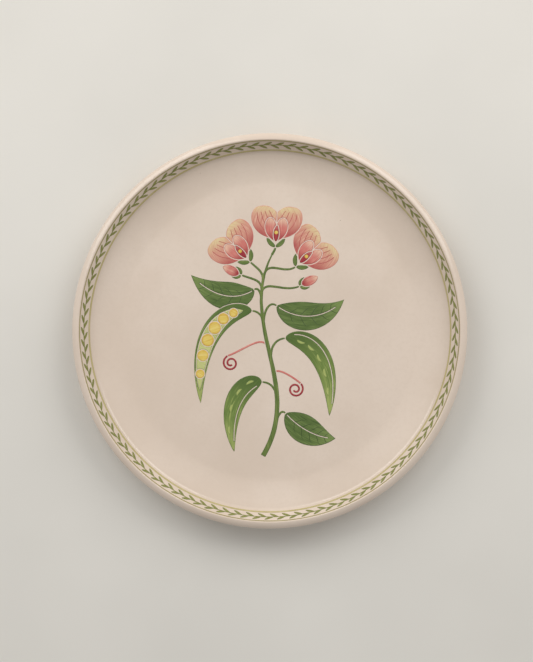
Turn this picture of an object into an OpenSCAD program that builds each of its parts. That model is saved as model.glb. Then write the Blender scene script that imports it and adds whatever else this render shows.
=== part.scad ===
// A round glazed plate with a low sloping wall, a rolled rim, a leaf border and a painted sprig.
// The origin is on the table, under the centre of the plate, and +Z is up.

/* [Plate] */
// Overall diameter
plate_d = 260; // [230:1:300]
// Overall height, from the table to the crest of the rim
plate_h = 22; // [20:0.5:26]
// Thickness of the floor at its centre, glaze included
floor_t = 5; // [4:0.25:6]
// Width of the rising margin between the flat middle and the curve up to the wall
margin_w = 16.25; // [12.25:0.25:20.25]
// Slope of the margin where it starts, in degrees
margin_slope = 7.5; // [5:0.5:10]
// Slope of the margin where it meets the curve up to the wall, in degrees
margin_top_slope = 17.5; // [14:0.5:21]
// Radius of the soft bend where the flat middle turns up into the margin
bend_r = 28; // [18:1:38]
// Radius of the curve between the margin and the wall
fillet_r = 4; // [2.5:0.25:5.5]
// Slope of the wall, in degrees
wall_slope = 55; // [50:1:60]

/* [Rim] */
// Thickness of the wall and the rim
rim_t = 6; // [5:0.25:7]
// Radius of the inner crest of the rim
crest_r = 0.7; // [0.5:0.1:1.1]
// Radius of the outer edge of the rim
edge_r = 2; // [1.6:0.1:2.4]
// Fall of the rim's top just outside the crest, in degrees
roll_start = 8; // [4:1:12]
// Fall of the rim's top just inside the outer edge, in degrees
roll_end = 45; // [40:1:50]

/* [Foot] */
// Distance from the plate's edge in to the foot ring's standing face
foot_inset = 46; // [38:1:54]
// Width of the standing face
foot_face_w = 2.4; // [1.6:0.2:3.2]
// Height of the underside above the table, just outside the foot ring
foot_rise = 3; // [2.6:0.1:3.6]
// Height of the hollow inside the foot ring
foot_hollow = 2.6; // [2.2:0.1:3.2]
// Radius on both edges of the standing face
foot_round_r = 1; // [0.6:0.1:1.2]
// Radius where the foot ring's sides meet the underside
foot_fillet_r = 1.5; // [1:0.1:1.8]
// Steepness of the foot ring's sides, in degrees
foot_flank = 70; // [60:1:80]
// Rise of the underside towards the wall, in degrees
under_slope = 1.5; // [0.5:0.5:3]
// Radius of the curve between the underside and the outside of the wall
shoulder_r = 16; // [12:0.5:18]

/* [Coats] */
// Thickness of the glaze
glaze_t = 0.4; // [0.2:0.05:0.6]
// Thickness of the fired colours that lie on the glaze
enamel_t = 0.15; // [0.1:0.01:0.25]
// Thickness of the fine strokes that lie on those colours
detail_t = 0.08; // [0.05:0.01:0.15]
// Bare glaze left between neighbouring colours
paint_gap = 0.5; // [0.3:0.05:0.8]

/* [Border] */
// Number of leaf pairs round the wall
leaf_pairs = 96; // [72:1:120]
// Width of a border leaf
border_leaf_w = 1.9; // [1.3:0.1:2.5]
// Width of the stem that the border leaves grow from
border_stem_w = 0.7; // [0.4:0.05:1]
// Width of the line above the leaves, at the rim
rim_line_w = 0.9; // [0.6:0.1:1.2]
// Distance of that line from the top of the wall's straight slope
rim_line_inset = 0.3; // [0.1:0.05:0.6]
// Width of the line below the leaves, at the foot of the wall
well_line_w = 1.5; // [0.8:0.1:2]
// Distance of that line from the foot of the wall's straight slope
well_line_inset = 0.25; // [0.1:0.05:0.6]

/* [Sprig] */
// Bare ring between the sprig's reach and the edge of the flat middle
sprig_clear = 14; // [8:0.5:30]
// Width of the main stem at its cut end
stem_w = 3.4; // [2.4:0.2:4.4]
// Width of the stalks of pods, leaves and blossoms
stalk_w = 1.7; // [1.2:0.1:2.2]
// Width of a pod
pod_w = 14; // [11:0.5:16]
// Diameter of the largest pea
pea_d = 8.4; // [6.5:0.1:9]
// Width of the open pod's rim on each side of its split
pod_rim_w = 2; // [1.5:0.1:2.5]
// Width of a leaf
leaf_w = 19; // [15:0.5:22]
// Length of a blossom
blossom_l = 30; // [25:0.5:34]
// Length of a bud
bud_l = 13; // [10:0.5:16]
// Width of a tendril
tendril_w = 1.3; // [0.9:0.1:1.7]
// Outer radius of a tendril's curl
curl_r = 5.2; // [4:0.1:6.5]
// Width of the fine veins
vein_w = 0.45; // [0.3:0.05:0.6]

/* [Hidden] */

// Fineness of the round stretches: sides of a ring, degrees and fewest steps of an arc, steps along a stroke
ring_sides = 144;
arc_step = 8;
least_arc_steps = 4;
stroke_steps = 18;
small_stroke_steps = 10;
border_leaf_steps = 6;
$fn = 48;
// How far a cutter or a limiting shape runs past what it works on
overrun = 1;
// Clearance under the colours on the wall, so that they don't cut into the glaze
wall_seat = 0.005;

// Profile of the plate, followed from the axis over the well, the rim and the underside
plate_r = plate_d / 2;
floor_z = foot_hollow + floor_t;
rim_back = 180 - wall_slope;
crest_share = 1 - cos(wall_slope + roll_start);
roll_share = cos(wall_slope + roll_start) - cos(wall_slope + roll_end);
edge_share = 1 + cos(wall_slope + roll_end);
roll_r = (rim_t - crest_r * crest_share - edge_r * edge_share) / roll_share;
margin_r = margin_w / (sin(margin_top_slope) - sin(margin_slope));
margin_rise = margin_r * (cos(margin_slope) - cos(margin_top_slope));
bend_run = bend_r * sin(margin_slope);
bend_rise = bend_r * (1 - cos(margin_slope));
fillet_run = fillet_r * (sin(wall_slope) - sin(margin_top_slope));
fillet_rise = fillet_r * (cos(margin_top_slope) - cos(wall_slope));
crest_run = crest_r * (sin(wall_slope) + sin(roll_start));
crest_rise = crest_r * (1 - cos(wall_slope));
roll_run = roll_r * (sin(roll_end) - sin(roll_start));
edge_run = edge_r * (1 - sin(roll_end));
well_rise = bend_rise + margin_rise + fillet_rise;
wall_l = (plate_h - floor_z - well_rise - crest_rise) / sin(wall_slope);
wall_top_r = plate_r - edge_run - roll_run - crest_run;
wall_foot_r = wall_top_r - wall_l * cos(wall_slope);
wall_foot_z = floor_z + well_rise;
flat_r = wall_foot_r - fillet_run - margin_w - bend_run;

// Foot ring and underside
foot_r = plate_r - foot_inset;
round_rise = foot_round_r * (1 - cos(foot_flank));
outer_flank_rise = foot_rise - round_rise - foot_fillet_r * (cos(under_slope) - cos(foot_flank));
outer_flank_l = outer_flank_rise / sin(foot_flank);
inner_flank_l = (foot_hollow - round_rise - foot_fillet_r * (1 - cos(foot_flank))) / sin(foot_flank);
foot_fillet_run = foot_fillet_r * (sin(foot_flank) - sin(under_slope));
under_start_r = foot_r + foot_round_r * sin(foot_flank) + outer_flank_l * cos(foot_flank) + foot_fillet_run;
rim_end_r = plate_r - edge_r * (1 - sin(wall_slope));
roll_fall = crest_r * (1 - cos(roll_start)) + roll_r * (cos(roll_start) - cos(roll_end));
rim_end_z = plate_h - roll_fall - edge_r * (cos(roll_end) + cos(wall_slope));
shoulder_run = shoulder_r * (sin(wall_slope) - sin(under_slope));
shoulder_rise = shoulder_r * (cos(under_slope) - cos(wall_slope));
// The two straight stretches left over, along the outside of the wall and along the underside
left_run = rim_end_r - under_start_r - shoulder_run;
left_rise = rim_end_z - foot_rise - shoulder_rise;
straight_sine = sin(wall_slope - under_slope);
outer_wall_l = (left_rise * cos(under_slope) - left_run * sin(under_slope)) / straight_sine;
under_l = (left_run * sin(wall_slope) - left_rise * cos(wall_slope)) / straight_sine;

// A move is [length, 0] along a straight stretch, or [radius, turn] round an arc, left turns positive
glazed_moves = [
    [flat_r, 0],
    [bend_r, margin_slope],
    [margin_r, margin_top_slope - margin_slope],
    [fillet_r, wall_slope - margin_top_slope],
    [wall_l, 0],
    [crest_r, -wall_slope - roll_start],
    [roll_r, roll_start - roll_end],
    [edge_r, roll_end - rim_back],
    [outer_wall_l, 0],
    [shoulder_r, under_slope - wall_slope],
    [under_l, 0],
    [foot_fillet_r, foot_flank - under_slope],
    [outer_flank_l, 0]
];
bare_moves = [
    [foot_round_r, -foot_flank],
    [foot_face_w, 0],
    [foot_round_r, -foot_flank]
];
hollow_moves = [
    [inner_flank_l, 0],
    [foot_fillet_r, foot_flank]
];

function left_of(heading) = [-sin(heading), cos(heading)];

// A station is [point, heading]
function ahead(at, length) = [at[0] + length * [cos(at[1]), sin(at[1])], at[1]];
function turned(at, radius, turn) =
    let (side = sign(turn) * radius)
    [at[0] + side * (left_of(at[1]) - left_of(at[1] + turn)), at[1] + turn];
function moved(at, move) =
    let (steps = max(least_arc_steps, ceil(abs(move[1]) / arc_step)))
    move[1] == 0 ? [ahead(at, move[0])] : [for (i = [1:steps]) turned(at, move[0], move[1] * i / steps)];
function last(list) = list[len(list) - 1];
function walk(path, moves, i = 0) =
    i == len(moves) ? path : walk(concat(path, moved(last(path), moves[i])), moves, i + 1);

// The surface of a path, sunk by a depth into the plate
function sunk(path, depth) = [for (at = path) at[0] - depth * left_of(at[1])];
function reversed(list) = [for (i = [len(list) - 1:-1:0]) list[i]];

glazed_path = walk([[[0, floor_z], 0]], glazed_moves);
bare_path = walk([last(glazed_path)], bare_moves);
rounded_hollow_path = walk([last(bare_path)], hollow_moves);
hollow_path = concat(rounded_hollow_path, [[[0, foot_hollow], last(rounded_hollow_path)[1]]]);

// Leaf border: the zone between the two lines, and places across it as shares of the zone
leaf_zone_foot = well_line_inset + well_line_w;
leaf_zone_w = wall_l - rim_line_inset - rim_line_w - leaf_zone_foot;
inner_tip_share = 0.11;
border_stem_share = 0.54;
outer_tip_share = 0.88;
border_stem_at = leaf_zone_foot + border_stem_share * leaf_zone_w;
border_stem_r = wall_foot_r + border_stem_at * cos(wall_slope);
border_stem_z = wall_foot_z + border_stem_at * sin(wall_slope);
// Reach of a border leaf along the rim and its rows' places, as shares of the step between leaf pairs
leaf_run_share = 0.78;
inner_row_share = 0.51;
outer_row_share = 0.92;
border_leaf_step = 360 / leaf_pairs;
border_leaf_run = leaf_run_share * PI * border_stem_r * 2 / leaf_pairs;
// Bends of a border leaf's spine, as shares of its run and its rise
border_spine_shares = [[0, 0], [0.40, 0.22], [0.70, 0.60], [1, 1]];

// Reach of the sprig from the plate's centre; the sprig's places are shares of it
sprig_r = flat_r - sprig_clear;
enamel_z = floor_z;
detail_z = enamel_z + enamel_t;

// Spines of the sprig's strokes, from root to tip
main_stem_shares = [[-0.05, -1.00], [0.30, -0.42], [-0.30, 0.08], [0.05, 0.66]];
main_stem = sprig_r * main_stem_shares;
open_pod_shares = [[-0.14, 0.16], [-0.40, 0.19], [-0.60, -0.08], [-0.55, -0.58]];
closed_pod_shares = [
    [[0.13, -0.06], [0.36, -0.04], [0.52, -0.26], [0.48, -0.68]],
    [[-0.06, -0.41], [-0.21, -0.40], [-0.37, -0.60], [-0.28, -0.97]]
];
leaf_shares = [
    [[-0.12, 0.33], [-0.27, 0.23], [-0.46, 0.27], [-0.63, 0.45]],
    [[0.06, 0.20], [0.22, 0.08], [0.44, 0.08], [0.60, 0.25]],
    [[0.13, -0.66], [0.24, -0.78], [0.38, -0.86], [0.53, -0.86]]
];
pod_shares = concat([open_pod_shares], closed_pod_shares);
// Roots of the blossoms and buds, with the way they lean from upright in degrees, left leans positive
blossom_shares = [[-0.16, 0.56], [0.22, 0.52], [0.05, 0.68]];
blossom_leans = [44, -46, -3];
bud_shares = [[-0.23, 0.45], [0.25, 0.36]];
bud_leans = [66, -62];
// Places along the main stem where the stalks leave it, as shares of its curve
pod_stalk_share = [0.58, 0.44, 0.24];
leaf_stalk_share = [0.76, 0.62, 0.14];
blossom_stalk_share = [0.84, 0.88, 0.97];
bud_stalk_share = [0.80, 0.78];
// How far a stalk keeps the heading of its ends, as a share of its span
stalk_bend_share = 0.45;

// Petals of a blossom, one side of each pair, as shares of its length, with the stalk at the origin
banner_shares = [[0, 0.14], [-0.10, 0.40], [-0.30, 0.50], [-0.34, 0.88]];
banner_w_share = 0.60;
wing_shares = [[0, 0.10], [-0.04, 0.26], [-0.16, 0.36], [-0.13, 0.62]];
wing_w_share = 0.26;
keel_shares = [[0, 0.10], [0.01, 0.22], [-0.01, 0.34], [0.02, 0.46]];
keel_w_share = 0.12;
sepal_shares = [[0, -0.02], [-0.08, 0.02], [-0.16, 0.08], [-0.20, 0.20]];
sepal_w_share = 0.10;
heart_share = 0.55;
heart_d_share = 0.085;
// A bud and its sepals, as shares of its length
bud_spine_shares = [[0, 0.10], [-0.04, 0.40], [0.04, 0.70], [0, 1.00]];
bud_w_share = 0.48;
bud_sepal_shares = [[0, -0.02], [-0.16, 0.04], [-0.26, 0.16], [-0.24, 0.46]];
bud_sepal_w_share = 0.20;

// Tendrils: where they leave the stem, where their leads end and with which heading, and the curl's turn
tendril_stem_share = [0.38, 0.51];
tendril_end_shares = [[0.25, -0.42], [-0.33, -0.20]];
tendril_end_headings = [-40, 200];
curl_sides = [-1, 1];
curl_turn = 560;
curl_end_share = 0.25;

// Fullness of a stroke at its root and at its tip: small is round, 1 or more is pointed
border_leaf_shape = [0.9, 0.70];
stem_shape = [0, 0.35];
stalk_shape = [0, 0.12];
pod_shape = [0.55, 0.80];
opening_shape = [0.75, 0.75];
leaf_shape = [0.75, 1.05];
banner_fullness = [0.75, 0.38];
wing_shape = [0.70, 0.45];
drop_shape = [0.60, 0.70];
vein_shape = [0.20, 0.60];
// Stretch of the open pod that is split, as shares of the pod's length
opening_ends_share = [0.09, 0.93];
opening_w = pod_w - pod_rim_w * 2;
// Place of the closed pods' seam, as a share of the half width, and its stretch along the pod
seam_share = 0.55;
seam_ends_share = [0.10, 0.92];
// Stretch of a pod that the peas fill, and how much smaller the end ones are, as shares
pea_ends_share = [0.20, 0.83];
pea_taper_share = 0.30;
// Streaks of light on the closed pods, as shares of the pod's width
light_l_share = 0.42;
light_w_share = 0.13;
light_side_share = 0.06;
// Stretch of the midrib along a leaf, and the side veins' places, reach and slant
midrib_ends_share = [0.04, 0.86];
vein_count = 5;
vein_ends_share = [0.20, 0.78];
vein_reach_share = 0.66;
vein_slant = 40;
// Fan of fine veins on a banner petal: sideways places and stretch along the petal
banner_vein_sides_share = [-0.55, -0.20, 0.15, 0.50];
banner_vein_ends_share = [0.42, 0.88];
// Small step along a curve that its heading is measured over
heading_step_share = 0.01;

// Points along a curve with four control points
function curve_at(c, t) =
    pow(1 - t, 3) * c[0] + 3 * pow(1 - t, 2) * t * c[1] + 3 * (1 - t) * pow(t, 2) * c[2] + pow(t, 3) * c[3];
function curve_way(c, t) =
    curve_at(c, min(t + heading_step_share, 1)) - curve_at(c, max(t - heading_step_share, 0));
function curve_heading(c, t) = atan2(curve_way(c, t)[1], curve_way(c, t)[0]);
function ahead_of(heading) = [cos(heading), sin(heading)];
function total(list, i = 0) = i == len(list) ? 0 : list[i] + total(list, i + 1);
function curve_run(c, ends) =
    let (points = [for (i = [0:stroke_steps]) curve_at(c, even(i, stroke_steps, ends))])
    total([for (i = [1:stroke_steps]) norm(points[i] - points[i - 1])]);
// A curve from one point and heading to another
function link(from, from_heading, to, to_heading) =
    let (reach = stalk_bend_share * norm(to - from))
    [from, from + reach * ahead_of(from_heading), to - reach * ahead_of(to_heading), to];

// Steps from one end value to the other, even or closer together near the ends
function even(i, steps, ends) = ends[0] + (ends[1] - ends[0]) * i / steps;
function eased(i, steps, ends) = ends[0] + (ends[1] - ends[0]) * (1 - cos(180 * i / steps)) / 2;

// Width of a stroke along its length, as a share of its greatest width
function swell(t, shape) = pow(t, shape[0]) * pow(1 - t, shape[1]);
function fullness(t, shape) = swell(t, shape) / swell(shape[0] / (shape[0] + shape[1]), shape);

// Outline of a line of points with a half width at each
function side_way(points, i) =
    let (way = points[min(i + 1, len(points) - 1)] - points[max(i - 1, 0)])
    [-way[1], way[0]] / norm(way);
function edge_points(points, halves, side) =
    [for (i = [0:len(points) - 1]) points[i] + side * halves[i] * side_way(points, i)];
function outline(points, halves) =
    concat(edge_points(points, halves, 1), reversed(edge_points(points, halves, -1)));

// A brush stroke along a curve, w wide at its fullest
module stroke(c, w, shape, steps = stroke_steps, ends = [0, 1]) {
    points = [for (i = [0:steps]) curve_at(c, eased(i, steps, ends))];
    halves = [for (i = [0:steps]) w / 2 * fullness(eased(i, steps, [0, 1]), shape)];
    polygon(outline(points, halves));
}

// A line of even width along a stretch of a curve, a share of a stroke's half width to one side
module side_line(c, line_w, w, shape, side_share, ends) {
    points = [
        for (i = [0:stroke_steps])
            let (t = eased(i, stroke_steps, ends))
            curve_at(c, t) + side_share * w / 2 * fullness(t, shape) * left_of(curve_heading(c, t))
    ];
    polygon(outline(points, [for (p = points) line_w / 2]));
}

// A line of even width along points
module thread(points, w) {
    polygon(outline(points, [for (p = points) w / 2]));
}

module enamel() {
    translate([0, 0, enamel_z])
        linear_extrude(enamel_t)
            children();
}

module detail() {
    translate([0, 0, detail_z])
        linear_extrude(detail_t)
            children();
}

// Plate and glaze
module clay_body() {
    color("Linen")
        rotate_extrude($fn = ring_sides)
            polygon(concat(sunk(glazed_path, glaze_t), sunk(bare_path, 0), sunk(hollow_path, glaze_t)));
}

module main_glaze() {
    color("AntiqueWhite")
        rotate_extrude($fn = ring_sides)
            polygon(concat(sunk(glazed_path, 0), reversed(sunk(glazed_path, glaze_t))));
}

module foot_hollow_glaze() {
    color("AntiqueWhite")
        rotate_extrude($fn = ring_sides)
            polygon(concat(sunk(hollow_path, 0), reversed(sunk(hollow_path, glaze_t))));
}

// Border on the wall
// A strip of colour round the wall, between two distances up its slope
module wall_strip(from, to) {
    foot = [wall_foot_r, wall_foot_z];
    up = ahead_of(wall_slope);
    seat = wall_seat * left_of(wall_slope);
    proud = enamel_t * left_of(wall_slope);
    rotate_extrude($fn = ring_sides)
        polygon([
            foot + from * up + seat,
            foot + to * up + seat,
            foot + to * up + proud,
            foot + from * up + proud
        ]);
}

module rim_line() {
    color("DarkKhaki")
        wall_strip(wall_l - rim_line_inset - rim_line_w, wall_l - rim_line_inset);
}

module well_line() {
    color("DarkKhaki")
        wall_strip(well_line_inset, well_line_inset + well_line_w);
}

module border_stem() {
    color("OliveDrab")
        wall_strip(border_stem_at - border_stem_w / 2, border_stem_at + border_stem_w / 2);
}

// One row of leaf outlines that rise from the stem, tips clockwise, cut deep enough to cross the strip
module border_leaf_row(row_share, tip_share) {
    rise = (tip_share - border_stem_share) * leaf_zone_w;
    spine = [for (p = border_spine_shares) [p[0] * border_leaf_run, p[1] * rise]];
    for (i = [0:leaf_pairs - 1])
        rotate(-border_leaf_step * (i + row_share))
            translate([border_stem_r, 0, border_stem_z])
                rotate([0, -wall_slope, 0])
                    rotate(-90)
                        translate([-border_leaf_run / 2, 0, -overrun])
                            linear_extrude(overrun * 2)
                                stroke(spine, border_leaf_w, border_leaf_shape, border_leaf_steps);
}

module outer_border_leaves() {
    color("DarkOliveGreen")
        intersection() {
            wall_strip(border_stem_at + border_stem_w / 2, wall_l);
            border_leaf_row(outer_row_share, outer_tip_share);
        }
}

module inner_border_leaves() {
    color("DarkOliveGreen")
        intersection() {
            wall_strip(0, border_stem_at - border_stem_w / 2);
            border_leaf_row(inner_row_share, inner_tip_share);
        }
}

// Outlines of the sprig
module stalk(stem_share, root, heading) {
    from = curve_at(main_stem, stem_share);
    spine = link(from, curve_heading(main_stem, stem_share), root, heading);
    stroke(spine, stalk_w, stalk_shape, small_stroke_steps);
}

module stem_shapes() {
    stroke(main_stem, stem_w, stem_shape);
    for (i = [0:len(pod_shares) - 1])
        stalk(pod_stalk_share[i], sprig_r * pod_shares[i][0], curve_heading(pod_shares[i], 0));
    for (i = [0:len(leaf_shares) - 1])
        stalk(leaf_stalk_share[i], sprig_r * leaf_shares[i][0], curve_heading(leaf_shares[i], 0));
    for (i = [0:len(blossom_shares) - 1])
        stalk(blossom_stalk_share[i], sprig_r * blossom_shares[i], 90 + blossom_leans[i]);
    for (i = [0:len(bud_shares) - 1])
        stalk(bud_stalk_share[i], sprig_r * bud_shares[i], 90 + bud_leans[i]);
}

module pod_outlines() {
    for (shares = pod_shares)
        stroke(sprig_r * shares, pod_w, pod_shape);
}

module pod_opening(inset) {
    stroke(sprig_r * open_pod_shares, opening_w - inset * 2, opening_shape, ends = opening_ends_share);
}

// As many peas as fit side by side along a pod
function peas_in(shares) = floor(sprig_r * curve_run(shares, pea_ends_share) / (pea_d + paint_gap)) + 1;

module pea_shapes() {
    pea_count = peas_in(open_pod_shares);
    for (i = [0:pea_count - 1]) {
        t = even(i, pea_count - 1, pea_ends_share);
        off_middle = even(i, pea_count - 1, [-1, 1]);
        translate(curve_at(sprig_r * open_pod_shares, t))
            circle(d = pea_d * (1 - pea_taper_share * pow(off_middle, 2)));
    }
}

module placed(shares, leans) {
    for (i = [0:len(shares) - 1])
        translate(sprig_r * shares[i])
            rotate(leans[i])
                children();
}

// Both sides of a pair of petals or sepals, parted along the middle
module pair(shares, length, w_share, shape) {
    for (flip = [0, 1])
        mirror([flip, 0])
            difference() {
                stroke(length * shares, length * w_share, shape);
                translate([-paint_gap / 2, -length])
                    square(length * 2);
            }
}

module at_blossom(i) {
    translate(sprig_r * blossom_shares[i])
        rotate(blossom_leans[i])
            children();
}

module banner_outline(i) {
    at_blossom(i)
        pair(banner_shares, blossom_l, banner_w_share, banner_fullness);
}

module banner_outlines() {
    for (i = [0:len(blossom_shares) - 1])
        banner_outline(i);
}

module wing_outlines() {
    placed(blossom_shares, blossom_leans)
        pair(wing_shares, blossom_l, wing_w_share, wing_shape);
}

module keel_shapes() {
    placed(blossom_shares, blossom_leans)
        stroke(blossom_l * keel_shares, blossom_l * keel_w_share, drop_shape);
}

module bud_shapes() {
    placed(bud_shares, bud_leans)
        stroke(bud_l * bud_spine_shares, bud_l * bud_w_share, drop_shape);
}

module petal_outlines() {
    banner_outlines();
    wing_outlines();
    keel_shapes();
    bud_shapes();
}

module sepal_outlines() {
    placed(blossom_shares, blossom_leans)
        pair(sepal_shares, blossom_l, sepal_w_share, drop_shape);
    placed(bud_shares, bud_leans)
        pair(bud_sepal_shares, bud_l, bud_sepal_w_share, drop_shape);
}

// Large petals of one blossom, clear of its inner petals and of the blossoms in front, later in the list
module banner_shape(i) {
    difference() {
        banner_outline(i);
        for (front = [i + 1:1:len(blossom_shares) - 1])
            offset(r = paint_gap)
                banner_outline(front);
        offset(r = paint_gap) {
            wing_outlines();
            keel_shapes();
            bud_shapes();
        }
    }
}

module leaf_outlines() {
    for (shares = leaf_shares)
        stroke(sprig_r * shares, leaf_w, leaf_shape);
}

module leaf_shapes() {
    difference() {
        leaf_outlines();
        for (shares = leaf_shares)
            side_line(sprig_r * shares, paint_gap, leaf_w, leaf_shape, 0, midrib_ends_share);
        offset(r = paint_gap) {
            pod_outlines();
            stem_shapes();
            petal_outlines();
            sepal_outlines();
        }
    }
}

// A tendril's lead from the stem, and the curl that winds inwards from its end
function lead(i) =
    link(
        curve_at(main_stem, tendril_stem_share[i]), curve_heading(main_stem, tendril_stem_share[i]),
        sprig_r * tendril_end_shares[i], tendril_end_headings[i]
    );
function curl_points(i) =
    let (
        side = curl_sides[i],
        heading = tendril_end_headings[i],
        steps = stroke_steps * 2,
        centre = sprig_r * tendril_end_shares[i] + side * curl_r * left_of(heading)
    )
    [
        for (k = [0:steps])
            let (reach = curl_r * even(k, steps, [1, curl_end_share]))
            centre - side * reach * left_of(heading + side * curl_turn * k / steps)
    ];

module lead_shapes() {
    for (i = [0:len(curl_sides) - 1])
        thread([for (k = [0:stroke_steps]) curve_at(lead(i), k / stroke_steps)], tendril_w);
}

module behind_sprig() {
    difference() {
        children();
        offset(r = paint_gap) {
            pod_outlines();
            stem_shapes();
            petal_outlines();
            sepal_outlines();
            leaf_outlines();
        }
    }
}

// Colours of the sprig
module sprig_stems() {
    color("OliveDrab")
        enamel()
            difference() {
                stem_shapes();
                offset(r = paint_gap) {
                    pod_outlines();
                    petal_outlines();
                    sepal_outlines();
                }
            }
}

module leaves() {
    color("DarkOliveGreen")
        enamel()
            leaf_shapes();
}

// Side veins leave the midrib on both sides of a leaf
module vein_lines(c) {
    for (i = [0:vein_count - 1], side = [-1, 1]) {
        t = even(i, vein_count - 1, vein_ends_share);
        reach = vein_reach_share * leaf_w / 2 * fullness(t, leaf_shape) / sin(vein_slant);
        end = curve_at(c, t) + reach * ahead_of(curve_heading(c, t) + side * vein_slant);
        stroke(link(curve_at(c, t), curve_heading(c, t) + side * vein_slant, end, curve_heading(c, t)),
            vein_w, vein_shape, small_stroke_steps);
    }
}

module leaf_veins() {
    color("DarkGreen")
        detail()
            intersection() {
                leaf_shapes();
                for (shares = leaf_shares)
                    vein_lines(sprig_r * shares);
            }
}

module pods() {
    color("OliveDrab")
        enamel()
            difference() {
                pod_outlines();
                pod_opening(0);
                for (shares = closed_pod_shares)
                    side_line(sprig_r * shares, paint_gap, pod_w, pod_shape, seam_share, seam_ends_share);
                offset(r = paint_gap)
                    pea_shapes();
            }
}

module pod_linings() {
    color("YellowGreen")
        enamel()
            difference() {
                pod_opening(paint_gap);
                offset(r = paint_gap)
                    pea_shapes();
            }
}

module pod_lights() {
    half = light_l_share * pod_w / 2;
    dip = -half / 3;
    color("YellowGreen")
        detail()
            for (shares = closed_pod_shares, i = [0:peas_in(shares) - 1]) {
                t = even(i, peas_in(shares) - 1, pea_ends_share);
                translate(curve_at(sprig_r * shares, t))
                    rotate(curve_heading(shares, t))
                        translate([0, -light_side_share * pod_w])
                            stroke([[-half, 0], [dip, dip], [-dip, dip], [half, 0]], light_w_share * pod_w,
                                drop_shape, small_stroke_steps);
            }
}

module peas() {
    color("Khaki")
        enamel()
            pea_shapes();
}

module banner_petals() {
    color("DarkSalmon")
        enamel()
            for (i = [0:len(blossom_shares) - 1])
                banner_shape(i);
}

module banner_veins() {
    color("IndianRed")
        detail()
            for (i = [0:len(blossom_shares) - 1])
                intersection() {
                    banner_shape(i);
                    at_blossom(i)
                        for (flip = [0, 1], side_share = banner_vein_sides_share)
                            mirror([flip, 0])
                                side_line(blossom_l * banner_shares, vein_w, blossom_l * banner_w_share,
                                    banner_fullness, side_share, banner_vein_ends_share);
                }
}

module wing_petals() {
    color("PaleVioletRed")
        enamel()
            difference() {
                wing_outlines();
                offset(r = paint_gap)
                    keel_shapes();
            }
}

module keel_petals() {
    color("Brown")
        enamel()
            keel_shapes();
}

module blossom_hearts() {
    color("Gold")
        detail()
            placed(blossom_shares, blossom_leans)
                translate(curve_at(blossom_l * keel_shares, heart_share))
                    circle(d = blossom_l * heart_d_share);
}

module buds() {
    color("IndianRed")
        enamel()
            bud_shapes();
}

module calyxes() {
    color("OliveDrab")
        enamel()
            difference() {
                sepal_outlines();
                offset(r = paint_gap)
                    petal_outlines();
            }
}

module tendrils() {
    color("PaleVioletRed")
        enamel()
            behind_sprig()
                lead_shapes();
}

module tendril_curls() {
    color("Brown")
        enamel()
            behind_sprig()
                difference() {
                    for (i = [0:len(curl_sides) - 1])
                        thread(curl_points(i), tendril_w);
                    offset(r = paint_gap)
                        lead_shapes();
                }
}

clay_body();
main_glaze();
foot_hollow_glaze();
rim_line();
well_line();
border_stem();
outer_border_leaves();
inner_border_leaves();
sprig_stems();
leaves();
leaf_veins();
pods();
pod_linings();
pod_lights();
peas();
banner_petals();
banner_veins();
wing_petals();
keel_petals();
blossom_hearts();
buds();
calyxes();
tendrils();
tendril_curls();
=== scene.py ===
"""Looks of a round glazed plate: a lathed glaze, a painted leaf border and a painted sprig.

Lengths are in metres. Sizes and places come from the frame, and colours are written as sRGB.
"""

import math

import bpy
import numpy as np
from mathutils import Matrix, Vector
from mathutils.geometry import delaunay_2d_cdt


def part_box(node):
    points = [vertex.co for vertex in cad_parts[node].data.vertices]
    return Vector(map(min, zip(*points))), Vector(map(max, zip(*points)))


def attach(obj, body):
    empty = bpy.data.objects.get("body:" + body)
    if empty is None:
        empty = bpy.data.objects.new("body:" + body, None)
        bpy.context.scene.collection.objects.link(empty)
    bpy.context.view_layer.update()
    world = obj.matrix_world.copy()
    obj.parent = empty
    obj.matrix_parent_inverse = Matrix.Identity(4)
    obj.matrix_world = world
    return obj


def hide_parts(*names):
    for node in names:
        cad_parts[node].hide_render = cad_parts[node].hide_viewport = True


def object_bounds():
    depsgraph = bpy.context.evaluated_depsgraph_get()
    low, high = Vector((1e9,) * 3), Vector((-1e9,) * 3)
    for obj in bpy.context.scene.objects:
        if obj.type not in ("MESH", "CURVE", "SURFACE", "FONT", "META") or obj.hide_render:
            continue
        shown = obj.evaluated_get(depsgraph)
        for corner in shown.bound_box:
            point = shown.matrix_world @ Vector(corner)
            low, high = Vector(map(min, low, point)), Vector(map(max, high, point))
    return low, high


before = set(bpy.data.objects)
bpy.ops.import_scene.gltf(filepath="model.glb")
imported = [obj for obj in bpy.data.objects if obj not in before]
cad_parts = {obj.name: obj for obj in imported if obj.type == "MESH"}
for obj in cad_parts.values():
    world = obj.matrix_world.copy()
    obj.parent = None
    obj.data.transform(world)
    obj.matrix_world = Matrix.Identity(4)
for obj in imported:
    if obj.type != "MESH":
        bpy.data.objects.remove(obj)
cad_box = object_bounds()

MM = 0.001
BODY = "root"

# Image frame and camera
IMAGE_SIZE = (533, 662)
PLATE_CENTRE_PX = (268.35, 330.35)
PLATE_RADIUS_PX = 197.8
SENSOR = 36.0
CAMERA_RISE = 0.95
CAMERA_ASIDE = (0.050, -0.019)
EDGE_FALL = 3 * MM

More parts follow.
